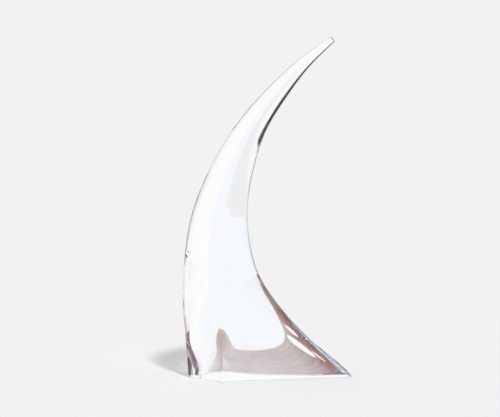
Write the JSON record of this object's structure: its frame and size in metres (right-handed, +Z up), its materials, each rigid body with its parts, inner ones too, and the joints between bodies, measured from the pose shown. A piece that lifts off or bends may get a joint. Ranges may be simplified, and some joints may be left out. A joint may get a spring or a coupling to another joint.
{
  "type": "glass wave sculpture",
  "caption": "Free-standing clear glass ornament: a horn drawn up and over from a flat ground foot with a pointed tail.",
  "frame": {"origin": "on the ground foot, under the middle of the whole sculpture's bounding box", "axes": "+Z up, +X from the horn's back to the pointed tail, +Y from the front to the back"},
  "size_m": [0.1527, 0.0624, 0.3038],
  "materials": {
    "clear_glass": "clear, fire polished all over, with a ground and polished foot"
  },
  "bodies": {
    "root": {"glass_wave": "clear_glass"}
  },
  "joints": []
}
